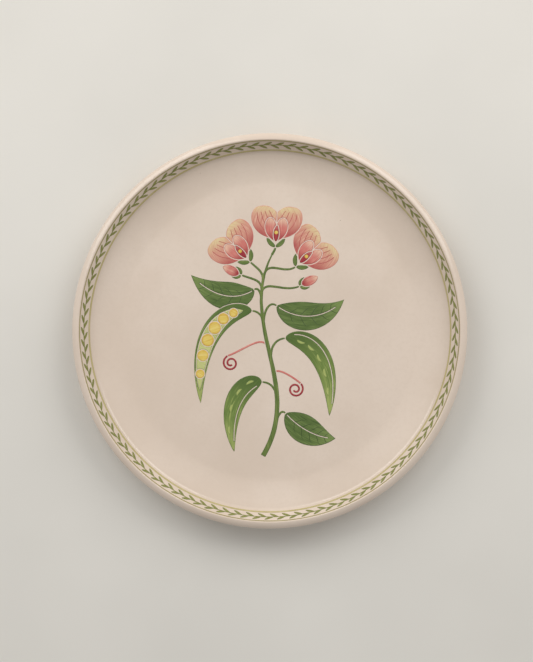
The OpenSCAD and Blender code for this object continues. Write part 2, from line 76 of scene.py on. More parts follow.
# Stage and light: a lamp's compass direction from +Y and zenith angle in degrees, its distance, width and
# height in metres, and the share of a level floor's light that it gives
FLOOR_REACH = 10.0
LAMPS = [
    ("soft_box", 0, 42, 1.4, 2.0, 2.0, 0.08),
    ("key_left", -42, 53, 1.5, 1.1, 0.9, 0.21),
    ("key_right", 42, 53, 1.5, 1.1, 0.9, 0.21),
]
LAMP_TINT = (1.0, 0.985, 0.965)
SKY_TINT = (1.0, 0.99, 0.975, 1)
SKY_LEVEL = 0.42

# Fineness of the meshes
RING_SEGMENTS = 360
ARC_STEP = math.radians(2.5)
RING_GAP = 5 * MM
FLOOR_RINGS = 16
OUTLINE_STEP = 0.35 * MM
LEAST_STEP = 0.12 * MM
CORNER_TURN = math.radians(38)
GLAZE_END_TURN = math.radians(60)

# Tolerances: corners that join, the half turn of a straight chord, a point on an outline, a level top,
# and how closely points of two triangulations match
WELD = 1e-4 * MM
STRAIGHT = 1e-4
ON_EDGE = 1e-5 * MM
LEVEL = 1e-3 * MM
TINY = 1e-12
CDT_SLACK = 1e-6
MATCH_DIGITS = 4

# Sizes of the glaze's end and bends, and of the fired colours
SINK = 0.03 * MM
GLAZE_END_R = 0.2 * MM
BEND_EASE = 2.2 * MM
ROUND_W = 0.30 * MM
BORDER_ROUND_W = 0.22 * MM
DETAIL_ROUND_W = 0.15 * MM
BORDER_GAP = 0.5 * MM
DETAIL_GAP = 0.4 * MM
DETAIL_SINK_SHARE = 0.2

# Points in a skin of colour, as shares of its round edge's width: rows along the edge, the room that they
# keep to it, the gap between them, and the clearance of the inner grid
EDGE_ROWS = (0.35, 1.0)
EDGE_ROW_ROOM = 0.85
EDGE_ROW_GAP = 0.3
GRID_CLEAR = 1.5

# The share of a colour's height above which its top starts, and of a stroke's length that is one end
TOP_SHARE = 0.6
END_SHARE = 0.08

# Section of a painted ring, as shares of its width and thickness between its sunk edges, and its waver
RING_SECTION = [(0.06, 0.6), (0.2, 0.95), (0.5, 1), (0.8, 0.95), (0.94, 0.6)]
LINE_WOBBLE = 0.02 * MM
LOW_WAVES = range(3, 60, 4)
HIGH_WAVES = range(4, 60, 5)

rng = np.random.default_rng(7)


def srgb(red, green, blue):
    """A colour written in 0 to 255 as the linear colour that shaders take."""
    parts = [c / 255 for c in (red, green, blue)]
    return tuple(c / 12.92 if c <= 0.04045 else ((c + 0.055) / 1.055) ** 2.4 for c in parts)


# Reading the frame

def corners_of(node):
    """Every corner of a CAD node, as rows of x, y, z."""
    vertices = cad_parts[node].data.vertices
    found = np.empty(len(vertices) * 3, np.float32)
    vertices.foreach_get("co", found)
    return found.reshape(-1, 3).astype(float)


def welded(node):
    """Corners and triangles of a CAD node, with corners that share a place joined."""
    corners = corners_of(node)
    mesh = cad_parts[node].data
    mesh.calc_loop_triangles()
    triangles = np.empty(len(mesh.loop_triangles) * 3, np.int32)
    mesh.loop_triangles.foreach_get("vertices", triangles)
    keys = np.round(corners / WELD).astype(np.int64)
    _, first, place = np.unique(keys, axis=0, return_index=True, return_inverse=True)
    triangles = place.reshape(-1)[triangles].reshape(-1, 3)
    whole = (triangles != np.roll(triangles, 1, 1)).all(1)
    return corners[first], triangles[whole]


def section_of(node):
    """Corners of a lathed node's section as (radius, height): a chain from one floor edge to the other."""
    corners, triangles = welded(node)
    on_seam = {i for i, (x, y, z) in enumerate(corners) if abs(y) < WELD and x > 0}
    beside = {i: set() for i in on_seam}
    for triangle in triangles.tolist():
        for a, b in zip(triangle, triangle[1:] + triangle[:1]):
            if a in on_seam and b in on_seam:
                beside[a].add(b)
                beside[b].add(a)
    path = [min(i for i in on_seam if len(beside[i]) == 1)]
    while True:
        ahead = [i for i in beside[path[-1]] if i not in path]
        if not ahead:
            return corners[path][:, [0, 2]]
        path.append(ahead[0])


def turn_between(a, b):
    """Signed angle from heading a to heading b."""
    return (b - a + math.pi) % (2 * math.pi) - math.pi


def glaze_section(node, shows_above):
    """A glaze's section in two: the side that shows, and the side that lies on the clay."""
    section = section_of(node)
    if (section[0][1] > section[-1][1]) != shows_above:
        section = section[::-1]
    steps = np.diff(section, axis=0)
    headings = np.arctan2(steps[:, 1], steps[:, 0])
    for i in range(1, len(headings)):
        if abs(turn_between(headings[i - 1], headings[i])) > GLAZE_END_TURN:
            return section[: i + 1], section[i + 1:]
    return section, section[:0]


def smooth_section(section):
    """The section's true arcs: each chord of an arc leaves and meets its ends at equal angles."""
    points, bends = [section[0]], [0.0]
    heading = 0.0
    for start, end in zip(section[:-1], section[1:]):
        chord = end - start
        length = np.hypot(*chord)
        half = turn_between(heading, math.atan2(chord[1], chord[0]))
        steps = max(1, math.ceil(abs(2 * half) / ARC_STEP), math.ceil(length / RING_GAP))
        bend = 2 * math.sin(half) / length
        for i in range(1, steps + 1):
            t = i / steps
            reach = length * (math.sin(half * t) / math.sin(half) if abs(half) > STRAIGHT else t)
            way = heading + half * t
            points.append(start + reach * np.array([math.cos(way), math.sin(way)]))
            bends.append(bend)
        heading += 2 * half
    return np.array(points), np.array(bends) * MM


# Building meshes

def new_piece(name, points, faces, attributes=(), slot=None, stands_for=()):
    """A smooth mesh piece that rides with the plate, with named values on its corners."""
    mesh = bpy.data.meshes.new(name)
    mesh.from_pydata([tuple(p) for p in points], [], [tuple(int(i) for i in f) for f in faces])
    mesh.update()
    mesh.polygons.foreach_set("use_smooth", [True] * len(mesh.polygons))
    for label, values in attributes:
        layer = mesh.attributes.new(label, "FLOAT", "POINT")
        layer.data.foreach_set("value", np.asarray(values, np.float32))
    piece = bpy.data.objects.new(name, mesh)
    bpy.context.scene.collection.objects.link(piece)
    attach(piece, BODY)
    if stands_for:
        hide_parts(*stands_for)
    return piece


def lathe(section, segments=RING_SEGMENTS):
    """Points and faces of a section turned about the axis; a section point on the axis is one corner."""
    angles = np.arange(segments) * 2 * math.pi / segments
    points, rings = [], []
    for radius, height in section:
        if radius < TINY:
            rings.append([len(points)] * segments)
            points.append((0, 0, height))
        else:
            rings.append(list(range(len(points), len(points) + segments)))
            points.extend((radius * math.cos(a), radius * math.sin(a), height) for a in angles)
    faces = []
    for low, high in zip(rings[:-1], rings[1:]):
        for i in range(segments):
            k = (i + 1) % segments
            corners = dict.fromkeys((low[i], high[i], high[k], low[k]))
            faces.append(tuple(corners))
    return points, faces, rings


def on_rings(values, rings, count):
    """One value for each section point, spread over the corners of its ring."""
    spread = np.zeros(count)
    for value, ring in zip(values, rings):
        spread[ring] = value
    return spread


def eased_along(path, values, reach):
    """Values on a path, each averaged with its neighbours within about a reach."""
    steps = np.hypot(*np.diff(path, axis=0).T)
    at = np.concatenate([[0], np.cumsum(steps)])
    share = np.concatenate([steps, [0]]) + np.concatenate([[0], steps])
    weights = np.exp(-((at[:, None] - at) / reach) ** 2) * share
    return weights @ values / weights.sum(1)


def round_end(before, corner, after, radius, steps=5):
    """A quarter round in place of a square corner."""
    back = (before - corner) / np.hypot(*(before - corner))
    on = (after - corner) / np.hypot(*(after - corner))
    middle = corner + (back + on) * radius
    turns = np.linspace(0, math.pi / 2, steps)
    return [middle - on * radius * math.cos(a) - back * radius * math.sin(a) for a in turns]


def glaze_piece(name, node, shows_above):
    """The glaze of a node as a fine lathed shell, closed over the axis, with a round end at the foot."""
    shown, hidden = glaze_section(node, shows_above)
    points, bends = smooth_section(shown)
    end = round_end(shown[-2], shown[-1], hidden[0], GLAZE_END_R)
    on_axis = points[0] * [0, 1]
    floor = [on_axis + (points[0] - on_axis) * t for t in np.linspace(0, 1, FLOOR_RINGS)[:-1]]
    path = np.vstack([floor, points[:-1], end, hidden, hidden[-1:] * [0, 1]])
    bends = np.concatenate([np.zeros(len(floor)), bends[:-1], np.zeros(len(end) + len(hidden) + 1)])
    bends = eased_along(path, bends, BEND_EASE)
    made, faces, rings = lathe(path)
    if not shows_above:
        faces = [face[::-1] for face in faces]
    return new_piece(name, made, faces, [("bend", on_rings(bends, rings, len(made)))],
                     "cream_glaze", [node])


def wall_line():
    """Foot and top of the wall's straight slope, as (radius, height)."""
    section = glaze_section("main_glaze", True)[0]
    crest = int(np.argmax(section[:, 1]))
    inside = section[: crest + 1]
    steps = np.diff(inside, axis=0)
    steep = np.hypot(*steps.T) * (steps[:, 1] > steps[:, 0])
    i = int(np.argmax(steep))
    return inside[i], inside[i + 1]


WALL_FOOT, WALL_TOP = wall_line()
WALL_UP = (WALL_TOP - WALL_FOOT) / np.hypot(*(WALL_TOP - WALL_FOOT))
WALL_OUT = np.array([-WALL_UP[1], WALL_UP[0]])
WALL_MID_R = (WALL_FOOT[0] + WALL_TOP[0]) / 2
FLOOR_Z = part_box("pods")[0].z
DETAIL_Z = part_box("leaf_veins")[0].z
ENAMEL_T = DETAIL_Z - FLOOR_Z
DETAIL_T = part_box("leaf_veins")[1].z - DETAIL_Z


def wall_place(along, up, rise):
    """Points on the wall: metres round it, metres up its slope and metres proud of it."""
    angle = along / WALL_MID_R
    across = WALL_FOOT + np.outer(up, WALL_UP) + np.outer(rise, WALL_OUT)
    return np.column_stack([across[:, 0] * np.cos(angle), across[:, 0] * np.sin(angle), across[:, 1]])


def wall_chart(points):
    """Metres round the wall and up its slope, of points that lie on it."""
    radius = np.hypot(points[:, 0], points[:, 1])
    up = (np.column_stack([radius, points[:, 2]]) - WALL_FOOT) @ WALL_UP
    angle = np.arctan2(points[:, 1], points[:, 0])
    middle = np.arctan2(np.sin(angle).mean(), np.cos(angle).mean())
    turned = (angle - middle + math.pi) % (2 * math.pi) - math.pi
    return np.column_stack([(turned + middle) * WALL_MID_R, up])


# Fired colours as domed skins

def islands_of(triangles):
    """Groups of triangles that hang together by their corners."""
    owner = {}

    def top(i):
        while owner.setdefault(i, i) != i:
            owner[i] = owner[owner[i]]
            i = owner[i]
        return i

    for a, b, c in triangles.tolist():
        owner[top(a)] = top(b)
        owner[top(b)] = top(c)
    groups = {}
    for triangle in triangles.tolist():
        groups.setdefault(top(triangle[0]), []).append(triangle)
    return list(groups.values())


def loops_of(triangles):
    """Closed loops of corners round a group of triangles."""
    count, following = {}, {}
    for triangle in triangles:
        for a, b in zip(triangle, triangle[1:] + triangle[:1]):
            count[frozenset((a, b))] = count.get(frozenset((a, b)), 0) + 1
    for triangle in triangles:
        for a, b in zip(triangle, triangle[1:] + triangle[:1]):
            if count[frozenset((a, b))] == 1:
                following.setdefault(a, []).append(b)
    loops = []
    while following:
        start = next(iter(following))
        loop, at = [], start
        while True:
            ahead = following[at].pop()
            if not following[at]:
                del following[at]
            loop.append(at)
            at = ahead
            if at == start:
                break
        loops.append(loop)
    return loops


def rounded_loop(points, step):
    """A loop of points with its shallow turns eased into curves, and its corners kept."""
    before, after = points - np.roll(points, 1, 0), np.roll(points, -1, 0) - points
    turns = np.abs([turn_between(math.atan2(*a[::-1]), math.atan2(*b[::-1]))
                    for a, b in zip(before, after)])
    sharp = turns > CORNER_TURN
    ways = np.roll(points, -1, 0) - np.roll(points, 1, 0)
    made = []
    for i in range(len(points)):
        k = (i + 1) % len(points)
        span = np.hypot(*(points[k] - points[i]))
        chord = (points[k] - points[i]) / max(span, TINY)
        leave = chord if sharp[i] else ways[i] / max(np.hypot(*ways[i]), TINY)
        arrive = chord if sharp[k] else ways[k] / max(np.hypot(*ways[k]), TINY)
        count = max(1, math.ceil(span / step))
        for t in np.arange(count) / count:
            made.append((2 * t ** 3 - 3 * t ** 2 + 1) * points[i] + (t ** 3 - 2 * t ** 2 + t) * span * leave
                        + (3 * t ** 2 - 2 * t ** 3) * points[k] + (t ** 3 - t ** 2) * span * arrive)
    kept = [made[0]]
    for point in made[1:]:
        if np.hypot(*(point - kept[-1])) > min(LEAST_STEP, step / 2):
            kept.append(point)
    return np.array(kept)


def inside_loops(points, loops):
    """Which points lie inside an odd number of loops."""
    odd = np.zeros(len(points), bool)
    for loop in loops:
        for (ax, ay), (bx, by) in zip(loop, np.roll(loop, -1, 0)):
            crosses = (ay > points[:, 1]) != (by > points[:, 1])
            if crosses.any():
                at = ax + (points[:, 1] - ay) * (bx - ax) / (by - ay if by != ay else TINY)
                odd ^= crosses & (points[:, 0] < at)
    return odd


def edge_distance(points, loops):
    """Distance of each point to the nearest loop."""
    nearest = np.full(len(points), np.inf)
    for loop in loops:
        for a, b in zip(loop, np.roll(loop, -1, 0)):
            side = b - a
            t = np.clip((points - a) @ side / max(side @ side, TINY ** 2), 0, 1)
            nearest = np.minimum(nearest, np.hypot(*(points - a - np.outer(t, side)).T))
    return nearest


def grid_inside(loops, gap, clear):
    """Staggered grid points inside the loops, clear of them."""
    everything = np.vstack(loops)
    low, high = everything.min(0), everything.max(0)
    rows = np.arange(low[1], high[1], gap * math.sqrt(0.75))
    grid = [(x + (k % 2) * gap / 2, y) for k, y in enumerate(rows) for x in np.arange(low[0], high[0], gap)]
    if not grid:
        return np.empty((0, 2))
    grid = np.array(grid)
    grid = grid[inside_loops(grid, loops)]
    return grid[edge_distance(grid, loops) > clear] if len(grid) else grid


def edge_rows(loops, depths):
    """Points set in from the loops by each depth, for a round edge."""
    rows = []
    for loop in loops:
        ways = np.roll(loop, -1, 0) - np.roll(loop, 1, 0)
        inward = np.column_stack([-ways[:, 1], ways[:, 0]]) / np.hypot(*ways.T)[:, None].clip(TINY)
        rows += [loop + inward * depth for depth in depths]
    points = np.vstack(rows)
    points = points[inside_loops(points, loops)]
    return points[edge_distance(points, loops) > EDGE_ROW_ROOM * min(depths)]


def signed_area(loop):
    """Area inside a loop, negative where it runs clockwise."""
    following = np.roll(loop, -1, 0)
    return float((loop[:, 0] * following[:, 1] - following[:, 0] * loop[:, 1]).sum() / 2)


def brush_axes(points, root_points):
    """Metres along and across a bent stroke, and the share of its length from its root."""
    centre = points.mean(0)
    _, _, axes = np.linalg.svd(points - centre, full_matrices=False)
    along, across = ((points - centre) @ axes.T).T
    bend = np.polyfit(along, across, 2)
    across = across - np.polyval(bend, along)
    if root_points is not None:
        low, high = np.quantile(along, (END_SHARE, 1 - END_SHARE))
        ends = [points[along <= low], points[along >= high]]
        away = [np.mean([np.hypot(*(root_points - p).T).min() for p in end]) for end in ends]
        if away[0] > away[1]:
            along = -along
    span = along.max() - along.min()
    return along, across, (along - along.min()) / span


def thinned(points, gap):
    """Points with those dropped that share a cell of a fine grid with an earlier one."""
    _, first = np.unique(np.floor(points / gap).astype(int), axis=0, return_index=True)
    return points[np.sort(first)]


def triangles_between(points, loops):
    """Points and triangles that fill the loops; the loops' points come first."""
    edges, start = [], 0
    for loop in loops:
        edges += [(start + i, start + (i + 1) % len(loop)) for i in range(len(loop))]
        start += len(loop)
    found = delaunay_2d_cdt([Vector(p) for p in points / MM], edges, [], 0, CDT_SLACK)
    points = np.array([tuple(p) for p in found[0]]) * MM
    faces = np.array([face for face in found[2] if len(face) == 3])
    return points, faces[inside_loops(points[faces].mean(1), loops)]


def closed_below(faces, under_faces, same, first):
    """Faces of a patch with an underside, whose corners follow from first on, and a wall round its edge."""
    sides = {(a, b) for f in faces.tolist() for a, b in zip(f, f[1:] + f[:1])}
    rim = [(a, b) for a, b in sorted(sides) if (b, a) not in sides]
    below = {at: first + i for i, at in enumerate(same.tolist())}
    wall = [corners for a, b in rim for corners in ((b, a, below[a]), (b, below[a], below[b]))]
    return np.vstack([faces, under_faces[:, ::-1] + first, wall])


def skin_of_island(loops, gap, round_w, thickness):
    """Points, rises, edge distances, faces and underside points of one domed, closed patch of colour."""
    if signed_area(max(loops, key=lambda loop: abs(signed_area(loop)))) < 0:
        loops = [loop[::-1] for loop in loops]
    outline = np.vstack(loops)
    rows = thinned(edge_rows(loops, [share * round_w for share in EDGE_ROWS]), EDGE_ROW_GAP * round_w)
    fill = grid_inside(loops, gap, GRID_CLEAR * round_w)
    points, faces = triangles_between(np.vstack([outline, rows, fill]), loops)
    under, under_faces = triangles_between(outline, loops)
    place = {tuple(p): i for i, p in enumerate(np.round(points / MM, MATCH_DIGITS).tolist())}
    same = np.array([place[tuple(p)] for p in np.round(under / MM, MATCH_DIGITS).tolist()])
    away = edge_distance(points, loops)
    rise = thickness * np.sqrt(1 - (1 - np.clip(away / round_w, 0, 1)) ** 2)
    rise[away < ON_EDGE] = -SINK
    return points, rise, away, closed_below(faces, under_faces, same, len(points)), same


def floor_chart(points):
    """Places on the level floor, of points that lie on it."""
    return points[:, :2]


def shown_triangles(corners, triangles, on_wall):
    """The triangles on the side of a colour that shows."""
    if on_wall:
        radius = np.hypot(corners[:, 0], corners[:, 1])
        proud = (np.column_stack([radius, corners[:, 2]]) - WALL_FOOT) @ WALL_OUT
        top = proud > proud.max() * TOP_SHARE
    else:
        top = corners[:, 2] > corners[:, 2].max() - LEVEL
    return triangles[top[triangles].all(1)]


def colour_skin(name, node, slot, gap, round_w=ROUND_W, chart=floor_chart, place=None, thickness=ENAMEL_T,
                root_node=None):
    """A node's patches of colour as one piece of domed skins, with brush directions on its corners."""
    corners, triangles = welded(node)
    on_wall = chart is wall_chart
    root_points = corners_of(root_node)[::3, :2] if root_node else None
    points, faces, values = [], [], {"edge": [], "along": [], "across": [], "share": [], "tone": []}
    for group in islands_of(shown_triangles(corners, triangles, on_wall)):
        used = sorted({i for triangle in group for i in triangle})
        at = {i: k for k, i in enumerate(used)}
        here = chart(corners[used])
        loops = [rounded_loop(here[[at[i] for i in loop]], OUTLINE_STEP) for loop in loops_of(group)]
        spots, rise, away, patch, under = skin_of_island(loops, gap, round_w, thickness)
        along, across, share = brush_axes(spots, root_points)
        if on_wall:
            share = np.abs(spots[:, 1] - STEM_UP) / BORDER_REACH
            patch = patch[:, ::-1]
        both = np.concatenate([np.arange(len(spots)), under])
        rise = np.concatenate([rise, np.full(len(under), -2 * SINK)])
        faces += (patch + sum(len(p) for p in points)).tolist()
        points.append(place(*spots[both].T, rise))
        for label, got in zip(values, (away / MM, along / MM, across / MM, share,
                                       np.full(len(spots), rng.random()))):
            values[label].append(got[both])
    merged = [(label, np.concatenate(got)) for label, got in values.items()]
    return new_piece(name, np.vstack(points), faces, merged, slot, [node])


def floor_place(x, y, rise):
    """Points on the plate's floor, some metres proud of it."""
    return np.column_stack([x, y, FLOOR_Z + rise])


def detail_place(x, y, rise):
    """Points of the fine strokes, which sink a little into the colour under them."""
    return np.column_stack([x, y, DETAIL_Z - DETAIL_SINK_SHARE * DETAIL_T + rise])


def band_ups(node):
    """Lowest and highest distance up the wall's slope that a ring of colour covers."""
    corners = corners_of(node)
    up = (np.column_stack([np.hypot(corners[:, 0], corners[:, 1]), corners[:, 2]]) - WALL_FOOT) @ WALL_UP
    return up.min(), up.max()


STEM_UP = sum(band_ups("border_stem")) / 2
BORDER_REACH = max(abs(up - STEM_UP) for node in ("outer_border_leaves", "inner_border_leaves")
                   for up in band_ups(node))


def slow_wave(angles, waves, strength):
    """A smooth seeded wobble round the plate."""
    return sum(strength / math.sqrt(n) * rng.normal() * np.sin(n * angles + rng.random() * 2 * math.pi)
               for n in waves)


def painted_ring(name, node, slot, wobble):
    """A thin painted ring round the wall, domed, with edges that waver a little as a brush does."""
    low, high = band_ups(node)
    segments = RING_SEGMENTS * 2
    angles = np.arange(segments) * 2 * math.pi / segments
    low_edge = low + slow_wave(angles, LOW_WAVES, wobble)
    high_edge = high + slow_wave(angles, HIGH_WAVES, wobble)
    across = [0, *(share for share, _ in RING_SECTION), 1]
    rises = [-SINK, *(rise * ENAMEL_T for _, rise in RING_SECTION), -SINK]
    points, edge = [], []
    for share, rise in zip(across, rises):
        up = low_edge + (high_edge - low_edge) * share
        points.append(wall_place(angles * WALL_MID_R, up, np.full(segments, rise)))
        edge.append(np.minimum(share, 1 - share) * (high_edge - low_edge) / MM)
    faces = []
    for row in range(len(across)):
        low_row, high_row = row * segments, (row + 1) % len(across) * segments
        for i in range(segments):
            k = (i + 1) % segments
            faces.append((low_row + i, high_row + i, high_row + k, low_row + k))
    along = np.tile(angles * WALL_MID_R / MM, len(across))
    values = [("edge", np.concatenate(edge)), ("along", along), ("across", np.zeros(len(along))),
              ("share", np.zeros(len(along))), ("tone", np.zeros(len(along)))]
    return new_piece(name, np.vstack(points), faces, values, slot, [node])


# Materials

GLAZE_IOR = 1.5


class Paint:
    """A node material: its shader, and short ways to add nodes to it."""

    def __init__(self, name, roughness):
        self.material = bpy.data.materials.new(name)
        self.material.use_nodes = True
        self.nodes = self.material.node_tree.nodes
        self.shader = self.nodes["Principled BSDF"]
        self.shader.inputs["Roughness"].default_value = roughness
        self.shader.inputs["IOR"].default_value = GLAZE_IOR

    def link(self, output, target):
        """Joins an output to an input."""
        self.material.node_tree.links.new(output, target)

    def add(self, kind, settings=None, **inputs):
        """A new node with its settings, and its inputs set or linked."""
        node = self.nodes.new("ShaderNode" + kind)
        for label, value in (settings or {}).items():
            setattr(node, label, value)
        for label, value in inputs.items():
            socket = node.inputs[label.replace("_", " ")]
            if isinstance(value, bpy.types.NodeSocket):
                self.link(value, socket)
            else:
                socket.default_value = value
        return node

    def value(self, label):
        """A named value that the mesh carries on its corners."""
        return self.add("Attribute", {"attribute_name": label}).outputs["Fac"]

    def place(self):
        """The place on the part, in metres."""
        return self.add("TexCoord").outputs["Object"]

    def math(self, operation, a, b=0.0):
        """One step of arithmetic on two numbers or outputs."""
        node = self.add("Math", {"operation": operation})
        for socket, value in zip(node.inputs, (a, b)):
            if isinstance(value, bpy.types.NodeSocket):
                self.link(value, socket)
            else:
                socket.default_value = value
        return node.outputs[0]

    def ramp(self, value, low, high, to_low=0.0, to_high=1.0):
        """A smooth step between two values."""
        node = self.add("MapRange", {"interpolation_type": "SMOOTHSTEP"})
        labels = ("From Min", "From Max", "To Min", "To Max")
        for label, number in zip(labels, (low, high, to_low, to_high)):
            node.inputs[label].default_value = number
        self.link(value, node.inputs["Value"])
        return node.outputs["Result"]

    def noise(self, vector, scale, detail=3.0, roughness=0.55):
        """A cloudy value from 0 to 1."""
        return self.add("TexNoise", None, Vector=vector, Scale=scale, Detail=detail,
                        Roughness=roughness).outputs["Fac"]

    def mix(self, share, a, b):
        """Colour a with a share of colour b."""
        node = self.add("Mix", {"data_type": "RGBA"})
        for index, value in ((0, share), (6, a), (7, b)):
            socket = node.inputs[index]
            if isinstance(value, bpy.types.NodeSocket):
                self.link(value, socket)
            elif index:
                socket.default_value = (*value, 1)
            else:
                socket.default_value = value
        return node.outputs[2]

    def colour(self, output):
        """Sends an output to the base colour."""
        self.link(output, self.shader.inputs["Base Color"])

    def rough(self, output):
        """Sends an output to the roughness."""
        self.link(output, self.shader.inputs["Roughness"])

    def bump(self, height, distance, strength=1.0, below=None):
        """Fine relief, over another relief if given."""
        node = self.add("Bump", None, Height=height, Distance=distance, Strength=strength)
        if below:
            self.link(below, node.inputs["Normal"])
        self.link(node.outputs["Normal"], self.shader.inputs["Normal"])
        return node.outputs["Normal"]


def glaze_material():
    """Cream glaze: warm where it pools, pale where it thins, with faint clouds, pits and specks."""
    paint = Paint("cream_glaze", 0.16)
    place = paint.place()
    clouds = paint.ramp(paint.noise(place, 16, 4), 0.35, 0.68)
    colour = paint.mix(clouds, GLAZE, GLAZE_LIGHT)
    mottle = paint.ramp(paint.noise(place, 420, 2), 0.40, 0.75, 0, 0.20)
    colour = paint.mix(mottle, colour, GLAZE_MOTTLE)
    bend = paint.value("bend")
    pooled = paint.ramp(bend, 0.004, 0.15, 0, 0.10)
    colour = paint.mix(pooled, colour, GLAZE_POOLED)
    thin = paint.ramp(bend, -0.10, -0.75, 0, 0.55)
    colour = paint.mix(thin, colour, GLAZE_THIN)
    cells = paint.add("TexVoronoi", None, Vector=place, Scale=95.0, Randomness=1.0)
    rare = paint.ramp(cells.outputs["Color"], 0.80, 0.82)
    dot = paint.ramp(cells.outputs["Distance"], 0.020, 0.045, 1, 0)
    speck = paint.math("MULTIPLY", paint.math("MULTIPLY", rare, dot), 0.55)
    colour = paint.mix(speck, colour, GLAZE_SPECK)
    paint.colour(colour)
    paint.rough(paint.ramp(paint.noise(place, 60, 4), 0.3, 0.75, 0.11, 0.19))
    waves = paint.bump(paint.noise(place, 22, 2), 0.00025, 0.5)
    paint.bump(paint.noise(place, 480, 2), 0.000006, 0.6, waves)
    return paint.material


def clay_material():
    """Bare fired clay of the foot ring: sandy and matt, a little worn."""
    paint = Paint("bare_clay", 0.75)
    place = paint.place()
    grain = paint.noise(place, 900, 4, 0.7)
    colour = paint.mix(paint.ramp(grain, 0.3, 0.7), CLAY, CLAY_LIGHT)
    worn = paint.ramp(paint.noise(place, 40, 3), 0.45, 0.7, 0, 0.45)
    colour = paint.mix(worn, colour, CLAY_WORN)
    paint.colour(colour)
    paint.rough(paint.ramp(grain, 0.2, 0.8, 0.62, 0.88))
    paint.bump(grain, 0.00004, 0.7)
    return paint.material


def brush_material(name, body, light, dark, edge, root=None, tip=None, streak=1.0, edge_w=0.7,
                   strength=0.8):
    """Fired colour laid with a brush: streaks along the stroke, pooled at its edge, washed at its ends."""
    paint = Paint(name, 0.2)
    along, across, tone = paint.value("along"), paint.value("across"), paint.value("tone")
    drift = paint.math("MULTIPLY", tone, 37.0)
    lines = paint.add("CombineXYZ", None, X=paint.math("MULTIPLY", along, 0.10 * streak),
                      Y=paint.math("MULTIPLY", across, 1.7 * streak), Z=drift).outputs[0]
    bands = paint.add("CombineXYZ", None, X=paint.math("MULTIPLY", along, 0.06 * streak),
                      Y=paint.math("MULTIPLY", across, 0.45 * streak), Z=drift).outputs[0]
    fine = paint.noise(lines, 1.0, 3, 0.6)
    broad = paint.noise(bands, 1.0, 2)
    colour = paint.mix(paint.ramp(fine, 0.52, 0.72, 0, strength), body, light)
    colour = paint.mix(paint.ramp(fine, 0.46, 0.28, 0, strength), colour, dark)
    colour = paint.mix(paint.ramp(broad, 0.50, 0.75, 0, 0.5 * strength), colour, light)
    share = paint.value("share")
    if root:
        wash = paint.math("MULTIPLY", paint.ramp(share, 0.50, 0.05), paint.ramp(fine, 0.25, 0.6, 0.45, 1))
        colour = paint.mix(wash, colour, root)
    if tip:
        wash = paint.math("MULTIPLY", paint.ramp(share, 0.55, 0.98), paint.ramp(fine, 0.25, 0.6, 0.45, 1))
        colour = paint.mix(wash, colour, tip)
    uneven = paint.noise(paint.place(), 350, 2)
    pooled = paint.math("MULTIPLY", paint.ramp(paint.value("edge"), edge_w, 0.0),
                        paint.ramp(uneven, 0.3, 0.65, 0.3, 1))
    colour = paint.mix(pooled, colour, edge)
    paint.colour(colour)
    paint.rough(paint.ramp(fine, 0.3, 0.7, 0.15, 0.26))
    paint.bump(fine, 0.00003, 0.5)
    return paint.material


# Colours of the glaze, the bare clay and the floor
GLAZE = srgb(221, 204, 188)
GLAZE_LIGHT = srgb(228, 212, 197)
GLAZE_MOTTLE = srgb(214, 197, 180)
GLAZE_POOLED = srgb(206, 187, 163)
GLAZE_THIN = srgb(214, 198, 181)
GLAZE_SPECK = srgb(150, 122, 92)
CLAY = srgb(190, 168, 138)
CLAY_LIGHT = srgb(222, 205, 180)
CLAY_WORN = srgb(164, 142, 114)
FLOOR = srgb(222, 219, 212)
FLOOR_LIGHT = srgb(228, 225, 218)

# Palette of the fired colours
LEAF = srgb(88, 110, 54)
LEAF_LIGHT = srgb(126, 146, 82)
LEAF_DARK = srgb(58, 80, 36)
POD = srgb(112, 134, 66)
POD_LIGHT = srgb(168, 180, 104)
POD_DARK = srgb(80, 104, 46)
STEM = srgb(100, 120, 58)
STEM_LIGHT = srgb(146, 158, 90)
STEM_DARK = srgb(70, 92, 42)
PALE = srgb(196, 200, 132)
PALE_LIGHT = srgb(216, 214, 160)
PALE_DARK = srgb(160, 172, 96)
YELLOW = srgb(226, 198, 98)
YELLOW_LIGHT = srgb(240, 222, 146)
YELLOW_DARK = srgb(204, 162, 62)
SALMON = srgb(212, 150, 130)
SALMON_LIGHT = srgb(230, 192, 166)
SALMON_DARK = srgb(190, 110, 98)
CREAM_TIP = srgb(226, 206, 158)
ROSE = srgb(208, 122, 112)
ROSE_LIGHT = srgb(226, 164, 148)
ROSE_DARK = srgb(178, 82, 80)
CRIMSON = srgb(160, 48, 56)
CRIMSON_LIGHT = srgb(190, 86, 84)
CRIMSON_DARK = srgb(124, 30, 40)
BORDER_GREEN = srgb(134, 136, 74)
BORDER_LIGHT = srgb(164, 162, 100)
BORDER_DARK = srgb(106, 114, 58)
OLIVE = srgb(166, 154, 106)
OLIVE_LIGHT = srgb(188, 176, 132)
OLIVE_DARK = srgb(142, 130, 82)
STRAW = srgb(192, 180, 128)
STRAW_LIGHT = srgb(208, 197, 152)
STRAW_DARK = srgb(170, 156, 102)

# Piece, node, material slot and brush colours of each painted ring of the border
RINGS = [
    ("painted_rim_line", "rim_line", "rim_olive",
     dict(body=OLIVE, light=OLIVE_LIGHT, dark=OLIVE_DARK, edge=OLIVE_DARK)),
    ("painted_well_line", "well_line", "well_olive",
     dict(body=STRAW, light=STRAW_LIGHT, dark=STRAW_DARK, edge=STRAW_DARK)),
    ("painted_border_stem", "border_stem", "border_stem_green",
     dict(body=BORDER_GREEN, light=BORDER_LIGHT, dark=BORDER_DARK, edge=BORDER_GREEN)),
]

